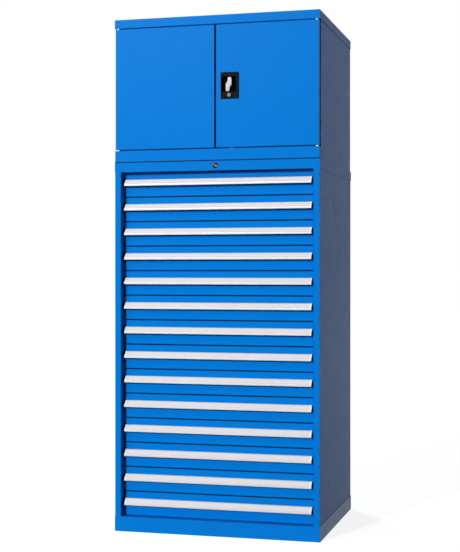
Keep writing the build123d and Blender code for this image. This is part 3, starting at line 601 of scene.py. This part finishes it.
def handle_section(low, high, handle, channel):
    """The section of the aluminium profile in Y and Z between the corners of its box.

    The outside runs over the top, down the slope and down the lip; the inside follows it at the
    thickness of the wall. Where the label channel runs, each point of the slope between the
    channel's edges moves in along the slope's normal by the channel's depth, and by
    depth * exp(-(distance to the groove / half its width) ** 2) for the groove in its middle.
    """
    steps = CORNER_POINTS
    face, front, top, bottom = high.y, low.y, high.z, low.z
    turn = np.array([face - handle.top_reach, top])
    lip_top = np.array([front, bottom + handle.lip])
    run = turn - lip_top
    tilt = math.atan2(run[1], run[0])
    gap = handle.wall * (1 - math.cos(tilt)) / math.sin(tilt)
    corners = [[face, top - handle.back_height], [face, top], turn, lip_top, [front, bottom],
               [front + handle.wall, bottom], [front + handle.wall, bottom + handle.lip - gap],
               [turn[0] + gap, top - handle.wall], [face - handle.wall, top - handle.wall],
               [face - handle.wall, top - handle.back_height]]
    radii = [0.0003, 0.0003, 0.0010, 0.0010, 0.0005, 0.0005, 0.0004, 0.0004, 0.0004, 0.0003]
    loop = rounded_loop(corners, radii, steps)
    first, last = loop[3 * steps - 1], loop[3 * steps]
    share = slope_shares()
    inward = np.array([math.sin(tilt), -math.cos(tilt)])
    distance = (share - GROOVE_PLACE) * np.linalg.norm(last - first)
    groove = handle.groove_depth * np.exp(-(distance * 2 / handle.groove_width) ** 2)
    sunk = (share > CHANNEL_EDGES[0]) & (share < CHANNEL_EDGES[1])
    depth = channel * sunk * (handle.channel_depth + groove)
    sloped = first + share[:, None] * (last - first) + depth[:, None] * inward
    return np.concatenate((loop[:3 * steps], sloped, loop[3 * steps:]))


def cap_section(low, high, handle):
    """The outline of an end cap in Y and Z: the outside of the profile closed by the drawer front."""
    face, front, top, bottom = high.y, low.y, high.z, low.z
    corners = [[face, top], [face - handle.top_reach, top], [front, bottom + handle.lip],
               [front, bottom], [face, bottom]]
    return rounded_loop(corners, [0.0006, 0.0016, 0.0016, 0.0020, 0.0006])


def handle_rings(low, high, handle, end):
    """Rings of the profile along X: bare at both ends, with the label channel between them.

    The last two rings mirror the first two.
    """
    bare = handle_section(low, high, handle, 0)
    channelled = handle_section(low, high, handle, 1)
    start = end - handle.channel_end
    outer = along_x(bare, (-end, -start), (0, 0))
    middle = along_x(channelled, (-start + CHANNEL_START, start - CHANNEL_START), (0, 0))
    return np.concatenate((outer, middle, -outer[::-1] * (1, -1, -1)))


def label_faces(mesh):
    """Marks the channel's floor with the second finish and the bare ends of the slope with the third,
    a copy of the aluminium painted half as bright again as a highlight.

    The side faces come ring by ring. Those after the first and the fifth ring are the bare ends, and
    those after the third are the channel.
    """
    points = len(mesh.vertices) // PROFILE_RINGS
    share = slope_shares()
    sunk = np.nonzero((share > CHANNEL_EDGES[0]) & (share < CHANNEL_EDGES[1]))[0] + 3 * CORNER_POINTS
    finish = np.zeros(len(mesh.polygons), np.int32)
    finish[2 * points + sunk[:-1]] = 1
    slope = np.arange(3 * CORNER_POINTS - 1, 3 * CORNER_POINTS + SLOPE_POINTS)
    finish[slope] = 2
    finish[4 * points + slope] = 2
    mesh.polygons.foreach_set("material_index", finish)


class CABINET_OT_handles(bpy.types.Operator):
    """Builds the aluminium handle, its label strip and the two end caps of every drawer"""
    bl_idname = "cabinet.handles"
    bl_label = "Drawer Handles"

    def execute(self, context):
        scene = context.scene
        handle = scene.cabinet_handle
        plastics = scene.cabinet_plastic
        aluminium = drawn_aluminium("drawn_aluminium", scene.cabinet_metal)
        strip = moulded_plastic("label_strip_plastic", plastics.strip, scaled(plastics.strip, 0.96),
                                gloss=0.4, grain=0.0012, shine=0.2)
        # A copy of the aluminium half as bright again: painted highlight on the bare ends of the slope
        bright = drawn_aluminium("painted_highlight_aluminium", scene.cabinet_metal, lift=1.5)
        plastic = moulded_plastic("end_cap_plastic", plastics.cap, scaled(plastics.cap, 1.5),
                                  gloss=0.6, grain=0.0007, shine=0.03)
        along, inwards = quarter_round(CAP_ROUND)
        for number in range(1, DRAWER_COUNT + 1):
            body = f"drawer_{number:02d}"
            low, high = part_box(f"{body}_handle")
            profile = handle_rings(low, high, handle, high.x - handle.cap_width - handle.cap_gap)
            piece = build(f"{body}_handle_profile", [profile], aluminium, body)
            piece.data.materials.append(strip)
            piece.data.materials.append(bright)
            label_faces(piece.data)
            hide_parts(f"{body}_handle")

            outline = cap_section(low, high, handle)
            start = high.x - handle.cap_width
            places = np.concatenate(([start], high.x - CAP_ROUND + along))
            drawn_in = np.concatenate(([0], inwards))
            caps = [along_x(outline, places, drawn_in), along_x(outline, -places, drawn_in)]
            build(f"{body}_handle_caps", caps, plastic, body)
        return {"FINISHED"}


# Painted steel

BODY_NODES = ("side_panel_left", "side_panel_right", "back_panel", "cupboard_shell", "cupboard_lid",
              "cupboard_shelf")

# Borders of a tray's finishes: how far out its zinc side channels lie, how far behind its front and
# below its top they start, how deep its zinc catch is, and how deep its outer face goes
CHANNEL_SIDE = 0.3811
CHANNEL_BACK = 0.023
CHANNEL_DROP = 0.014
CATCH_DEPTH = 0.0178
FACE_DEPTH = 0.02


class CABINET_OT_body(bpy.types.Operator):
    """Paints the cabinet body, the cupboard and its shelf"""
    bl_idname = "cabinet.body"
    bl_label = "Painted Body"

    def execute(self, context):
        paint = powder_coat("blue_powder_coat", context.scene.cabinet_paint)
        for name in BODY_NODES:
            dress(name, paint)
        # Painted shade along the seam between the top cover and the cupboard's floor
        seam = ("Z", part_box("top_cover")[1].z, 2 * ROOM, COVER_SEAM)
        seam_shaded_coat = powder_coat("cover_seam_shaded_powder_coat", context.scene.cabinet_paint, seam)
        for name in ("top_cover", "cupboard_floor"):
            dress(name, seam_shaded_coat)
        base = powder_coat("base_powder_coat", context.scene.cabinet_paint, shine=BASE_SHINE)
        dress("base_plinth", base)
        return {"FINISHED"}


class CABINET_OT_doors(bpy.types.Operator):
    """Paints the two doors and plates their pivot pins"""
    bl_idname = "cabinet.doors"
    bl_label = "Doors"

    def execute(self, context):
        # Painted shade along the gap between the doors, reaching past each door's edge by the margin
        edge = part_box("door_right")[0].x
        seam = ("X", 0, 2 * ROOM, edge + DOOR_SEAM_MARGIN)
        paint = powder_coat("door_gap_shaded_powder_coat", context.scene.cabinet_paint, seam)
        for name in ("door_left", "door_right"):
            dress(name, paint)
        dress("door_pivot_pins", zinc_plate("pivot_zinc", context.scene.cabinet_metal))
        return {"FINISHED"}


class CABINET_OT_drawers(bpy.types.Operator):
    """Paints every drawer and plates its side channels and its catch"""
    bl_idname = "cabinet.drawers"
    bl_label = "Drawers"

    def execute(self, context):
        paint = powder_coat("drawer_powder_coat", context.scene.cabinet_paint)
        zinc = zinc_plate("slide_zinc", context.scene.cabinet_metal)
        # Painted shade along the seams between the drawer fronts, repeating at the pitch of the drawers
        upper, lower = (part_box(f"drawer_{number:02d}_tray") for number in (1, 2))
        pitch = upper[0].z - lower[0].z
        seam = ("Z", (lower[1].z + upper[0].z) / 2, pitch, DRAWER_SEAM)
        front = powder_coat("drawer_front_seam_shaded_powder_coat", context.scene.cabinet_paint, seam)
        for number in range(1, DRAWER_COUNT + 1):
            name = f"drawer_{number:02d}_tray"
            dress(name, paint, zinc, front)
            low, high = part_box(name)
            middles = face_middles(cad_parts[name].data)
            wide = np.abs(middles[:, 0]) > CHANNEL_SIDE
            behind_front = middles[:, 1] > low.y + CHANNEL_BACK
            below_hem = middles[:, 2] < high.z - CHANNEL_DROP
            catch = middles[:, 1] > high.y - CATCH_DEPTH
            plated = (wide & behind_front & below_hem) | catch
            outer_face = middles[:, 1] < low.y + FACE_DEPTH
            finish_faces(name, plated + 2 * outer_face)
        return {"FINISHED"}


class CABINET_OT_slides(bpy.types.Operator):
    """Plates the rails, their uprights, the shelf clips and the joining bolts"""
    bl_idname = "cabinet.slides"
    bl_label = "Rails and Fixings"

    def execute(self, context):
        zinc = zinc_plate("rail_zinc", context.scene.cabinet_metal)
        for name in ("cabinet_rails", "rail_uprights", "shelf_clips", "joining_bolts"):
            dress(name, zinc)
        return {"FINISHED"}


# Locks

# Depth at which the latch plate's cup, painted darker as shade, starts, height of the wing's step
# above its middle, radius in the step's corners, and how far the wing's edge is rounded inwards
CUP_DEPTH = 0.0035
STEP_START = 0.001
STEP_RADIUS = 0.0025
WING_ROUND = 0.0022


class CABINET_OT_main_lock(bpy.types.Operator):
    """Finishes the main lock, the bar that it lifts and the bar's guides"""
    bl_idname = "cabinet.main_lock"
    bl_label = "Main Lock"

    def execute(self, context):
        metal = context.scene.cabinet_metal
        zinc = zinc_plate("lock_bar_zinc", metal)
        low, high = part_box("main_lock_barrel")
        nickel = nickel_with_painted_reflection("lock_nickel", metal, ((low.x + high.x) / 2, (low.z + high.z) / 2))
        dress("main_lock_barrel", nickel)
        dress("main_lock_plug", nickel)
        dress("lock_bar", zinc)
        dress("lock_bar_guides", zinc)
        return {"FINISHED"}


def wing_outline(half_width, half_height, latch):
    """The outline of the wing in X and Z about its middle: two round ends, one to each side.

    The upper end touches the right side and the lower end the left side. Between them the outline
    steps across by the difference of the width and the ends' diameter, over the height of the waist.
    """
    inner = 2 * latch.lobe - half_width
    near = STEP_START
    far = near + latch.waist
    corners = [[half_width, half_height], [-inner, half_height], [-inner, far], [-half_width, near],
               [-half_width, -half_height], [inner, -half_height], [inner, -far], [half_width, -near]]
    round_end = latch.lobe - 0.00001
    return rounded_loop(corners, [round_end, round_end, STEP_RADIUS, STEP_RADIUS] * 2, 10)


class CABINET_OT_latch(bpy.types.Operator):
    """Builds the latch's rounded wing and finishes its plate, key plug, cam and rods"""
    bl_idname = "cabinet.latch"
    bl_label = "Door Latch"

    def execute(self, context):
        scene = context.scene
        plastic, latch, metal = scene.cabinet_plastic, scene.cabinet_latch, scene.cabinet_metal
        plate = moulded_plastic("latch_plate_plastic", plastic.plate, scaled(plastic.plate, 1.5),
                                gloss=0.5, grain=0.0008, shine=0.02)
        # The cup's faces get a darker copy of the plate's plastic, painted shade in the hollow
        cup = moulded_plastic("latch_cup_painted_shade_plastic", plastic.cup, scaled(plastic.cup, 0.7),
                              gloss=0.8, grain=0.0008, shine=0.02)
        dress("latch_plate", plate, cup)
        cup_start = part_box("latch_plate")[0].y + CUP_DEPTH
        finish_faces("latch_plate", face_middles(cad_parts["latch_plate"].data)[:, 1] > cup_start)

        low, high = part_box("latch_wing")
        middle = ((low.x + high.x) / 2, (low.z + high.z) / 2)
        outline = wing_outline((high.x - low.x) / 2, (high.z - low.z) / 2, latch)
        angle = np.linspace(np.pi / 2, 0, 9)
        places = np.concatenate((low.y + latch.crown * (1 - np.sin(angle)), [low.y + latch.thickness]))
        drawn_in = np.concatenate((WING_ROUND * (1 - np.cos(angle)), [0]))
        wing = along_y(outline, middle, places, drawn_in)
        turn = np.linspace(0, 2 * np.pi, 40, endpoint=False)
        circle = latch.spindle * np.stack((np.cos(turn), np.sin(turn)), -1)
        spindle = along_y(circle, middle, (low.y + latch.thickness, high.y), (0, 0))
        piece = build("latch_wing_casting", [wing, spindle], cast_zinc("latch_wing_lacquer", metal.wing),
                      "latch_handle")
        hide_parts("latch_wing")

        dress("latch_key_plug", plated_brass("latch_key_nickel", metal.key_plug, gloss=0.4))
        zinc = zinc_plate("latch_zinc", metal)
        for name in ("latch_cam", "latch_rod_upper", "latch_rod_lower", "latch_rod_guides"):
            dress(name, zinc)
        return {"FINISHED"}


# Back panel's screws

# Least distance between two screws, height of a head, radius of a shank, and size of the cross
SCREW_GAP = 0.02
HEAD_HEIGHT = 0.0025
SHANK_RADIUS = 0.0022
CROSS_DEPTH = 0.0009
CROSS_HALF_WIDTH = 0.00055
CROSS_HALF_LENGTH = 0.002


def screw_boxes(name):
    """The box of each screw in a node: its points, parted by side and by the gaps along Z."""
    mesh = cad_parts[name].data
    points = np.zeros(len(mesh.vertices) * 3)
    mesh.vertices.foreach_get("co", points)
    points = points.reshape(-1, 3)
    boxes = []
    for side in (points[:, 0] < 0, points[:, 0] > 0):
        chosen = points[side]
        chosen = chosen[np.argsort(chosen[:, 2], kind="stable")]
        for group in np.split(chosen, np.nonzero(np.diff(chosen[:, 2]) > SCREW_GAP)[0] + 1):
            boxes.append((group.min(0), group.max(0)))
    return boxes


def screw_rings(low, high, head, shank):
    """Rings of a domed cross-head screw along Y between the corners of its box.

    The head's face falls away from its middle by 0.8 * head * (radius / full radius) ** 2.4. The cross
    is sunk into it by depth * exp(-(across / half width) ** 4 - (along / half length) ** 8) for each of
    its two arms, of which the deeper counts. The underside and the shank follow with plain rings.
    """
    middle = (low + high) / 2
    full = (high[0] - low[0]) / 2
    turn = np.linspace(0, 2 * np.pi, 48, endpoint=False)[None, :]
    radius = full * np.concatenate((np.linspace(0.02, 0.94, 13), [1.0]))[:, None]
    across, along = radius * np.cos(turn), radius * np.sin(turn)
    first = np.exp(-(across / CROSS_HALF_WIDTH) ** 4 - (along / CROSS_HALF_LENGTH) ** 8)
    second = np.exp(-(along / CROSS_HALF_WIDTH) ** 4 - (across / CROSS_HALF_LENGTH) ** 8)
    outer = high[1] - head * (radius / full) ** 2.4 * 0.8 - CROSS_DEPTH * np.maximum(first, second)
    dome = np.stack((middle[0] + across, outer, middle[2] + along), -1)
    rest = np.array([[full, high[1] - head], [shank, high[1] - head], [shank, low[1]]])
    plain = np.stack((middle[0] + rest[:, :1] * np.cos(turn), rest[:, 1:] + 0 * turn,
                      middle[2] + rest[:, :1] * np.sin(turn)), -1)
    return np.concatenate((dome, plain))


class CABINET_OT_back_screws(bpy.types.Operator):
    """Builds the domed cross-head screws of the back panel"""
    bl_idname = "cabinet.back_screws"
    bl_label = "Back Screws"

    def execute(self, context):
        tubes = [screw_rings(low, high, HEAD_HEIGHT, SHANK_RADIUS)
                 for low, high in screw_boxes("back_panel_screws")]
        piece = build("back_panel_screw_heads", tubes, zinc_plate("screw_zinc", context.scene.cabinet_metal),
                      "cabinet", 40)
        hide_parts("back_panel_screws")
        return {"FINISHED"}


# Stage

FLOOR_REACH = 30.0
SIDE_LIGHT_SIZE = 1.5
SIDE_LIGHT_PLACE = (-2.2, -2.5, 3.2)
SIDE_LIGHT_TURN = (math.radians(67), 0, math.radians(-41))


class CABINET_OT_stage(bpy.types.Operator):
    """Sets up the floor, the soft lights, the pale surroundings and the camera"""
    bl_idname = "cabinet.stage"
    bl_label = "Stage"

    def execute(self, context):
        scene = context.scene
        stage = scene.cabinet_stage
        add_camera(scene, stage)
        add_floor(stage)
        add_sun("key_light", stage.key_level, azimuth=-20, elevation=16, spread=7)
        add_sun("back_light", stage.back_level, azimuth=-140, elevation=25, spread=20)
        add_side_light(stage)
        add_surroundings(scene, stage)
        scene.view_settings.view_transform = "Standard"
        return {"FINISHED"}


def add_camera(scene, stage):
    """A level camera that looks at the front and a little of the right side."""
    data = bpy.data.cameras.new("photo_camera")
    data.lens = stage.lens
    data.sensor_width = 36
    data.shift_y = stage.shift
    data.clip_end = 100
    camera = bpy.data.objects.new("photo_camera", data)
    camera.location = stage.camera_place
    camera.rotation_euler = (math.pi / 2, 0, stage.camera_turn)
    scene.collection.objects.link(camera)
    scene.camera = camera


def flat_piece(name, corners, material):
    """A flat four-cornered stage piece."""
    mesh = bpy.data.meshes.new(name)
    mesh.from_pydata(corners, [], [(0, 1, 2, 3)])
    mesh.materials.append(material)
    made = bpy.data.objects.new(name, mesh)
    bpy.context.scene.collection.objects.link(made)


def background_rays(tree):
    """One for a ray that shows the background: from the camera, off metal and gloss, or through glass."""
    rays = add_node(tree, "ShaderNodeLightPath")
    first = add_node(tree, "ShaderNodeMath", {"operation": "MAXIMUM"})
    second = add_node(tree, "ShaderNodeMath", {"operation": "MAXIMUM"})
    tree.links.new(rays.outputs["Is Camera Ray"], first.inputs[0])
    tree.links.new(rays.outputs["Is Glossy Ray"], first.inputs[1])
    tree.links.new(first.outputs[0], second.inputs[0])
    tree.links.new(rays.outputs["Is Transmission Ray"], second.inputs[1])
    return second.outputs[0]


def add_floor(stage):
    """A wide pale floor, lifted to white for the camera where no shadow falls."""
    material, tree, shader = shader_tree("pale_floor")
    shader.inputs["Base Color"].default_value = (*stage.floor_colour, 1)
    shader.inputs["Roughness"].default_value = 0.9
    shader.inputs["Specular IOR Level"].default_value = 0.0
    shader.inputs["Emission Color"].default_value = (1, 1, 1, 1)
    tree.links.new(ranged(tree, background_rays(tree), 0, 1, 0, stage.floor_lift),
                   shader.inputs["Emission Strength"])
    reach = FLOOR_REACH
    corners = [(-reach, -reach, 0), (reach, -reach, 0), (reach, reach, 0), (-reach, reach, 0)]
    flat_piece("floor", corners, material)


def add_sun(name, level, azimuth, elevation, spread):
    """A distant soft light. All angles are in degrees.

    Azimuth is counted from straight in front to the right, elevation upwards. A facing white surface
    lit by strength pi shows as white, so the strength is pi times the level.
    """
    data = bpy.data.lights.new(name, "SUN")
    data.energy = math.pi * level
    data.angle = math.radians(spread)
    light = bpy.data.objects.new(name, data)
    light.rotation_euler = (math.radians(90 - elevation), 0, math.radians(azimuth))
    bpy.context.scene.collection.objects.link(light)


def add_side_light(stage):
    """A square soft light above on the left, which fades across the front."""
    data = bpy.data.lights.new("side_light", "AREA")
    data.energy = stage.side_power
    data.size = SIDE_LIGHT_SIZE
    light = bpy.data.objects.new("side_light", data)
    light.location = SIDE_LIGHT_PLACE
    light.rotation_euler = SIDE_LIGHT_TURN
    bpy.context.scene.collection.objects.link(light)


def add_surroundings(scene, stage):
    """White surroundings for the camera and for reflections, and an even light for all else."""
    world = bpy.data.worlds.new("surroundings")
    world.use_nodes = True
    tree = world.node_tree
    background = tree.nodes["Background"]
    background.inputs["Color"].default_value = (1, 1, 1, 1)
    tree.links.new(ranged(tree, background_rays(tree), 0, 1, stage.sky_level, 1.0),
                   background.inputs["Strength"])
    scene.world = world


# Panel and registration

OPERATORS = (CABINET_OT_body, CABINET_OT_doors, CABINET_OT_drawers, CABINET_OT_handles, CABINET_OT_slides,
             CABINET_OT_main_lock, CABINET_OT_latch, CABINET_OT_back_screws, CABINET_OT_stage)
GROUPS = {"cabinet_paint": CabinetPaint, "cabinet_metal": CabinetMetal, "cabinet_plastic": CabinetPlastic,
          "cabinet_handle": CabinetHandle, "cabinet_latch": CabinetLatch, "cabinet_stage": CabinetStage}


class CABINET_PT_panel(bpy.types.Panel):
    """Lists the steps that dress the cabinet"""
    bl_idname = "CABINET_PT_panel"
    bl_label = "Parts Drawer Cabinet"
    bl_space_type = "VIEW_3D"
    bl_region_type = "UI"
    bl_category = "Cabinet"

    def draw(self, context):
        for group in GROUPS:
            box = self.layout.box()
            settings = getattr(context.scene, group)
            for key in settings.__annotations__:
                box.prop(settings, key)
        for step in OPERATORS:
            self.layout.operator(step.bl_idname)


def register():
    for made in (*GROUPS.values(), *OPERATORS, CABINET_PT_panel):
        bpy.utils.register_class(made)
    for name, group in GROUPS.items():
        setattr(bpy.types.Scene, name, bpy.props.PointerProperty(type=group))


def unregister():
    for name in GROUPS:
        delattr(bpy.types.Scene, name)
    for made in reversed((*GROUPS.values(), *OPERATORS, CABINET_PT_panel)):
        bpy.utils.unregister_class(made)


def main():
    """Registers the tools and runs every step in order."""
    register()
    bpy.ops.cabinet.body()
    bpy.ops.cabinet.doors()
    bpy.ops.cabinet.drawers()
    bpy.ops.cabinet.handles()
    bpy.ops.cabinet.slides()
    bpy.ops.cabinet.main_lock()
    bpy.ops.cabinet.latch()
    bpy.ops.cabinet.back_screws()
    bpy.ops.cabinet.stage()


if __name__ == "__main__":
    main()
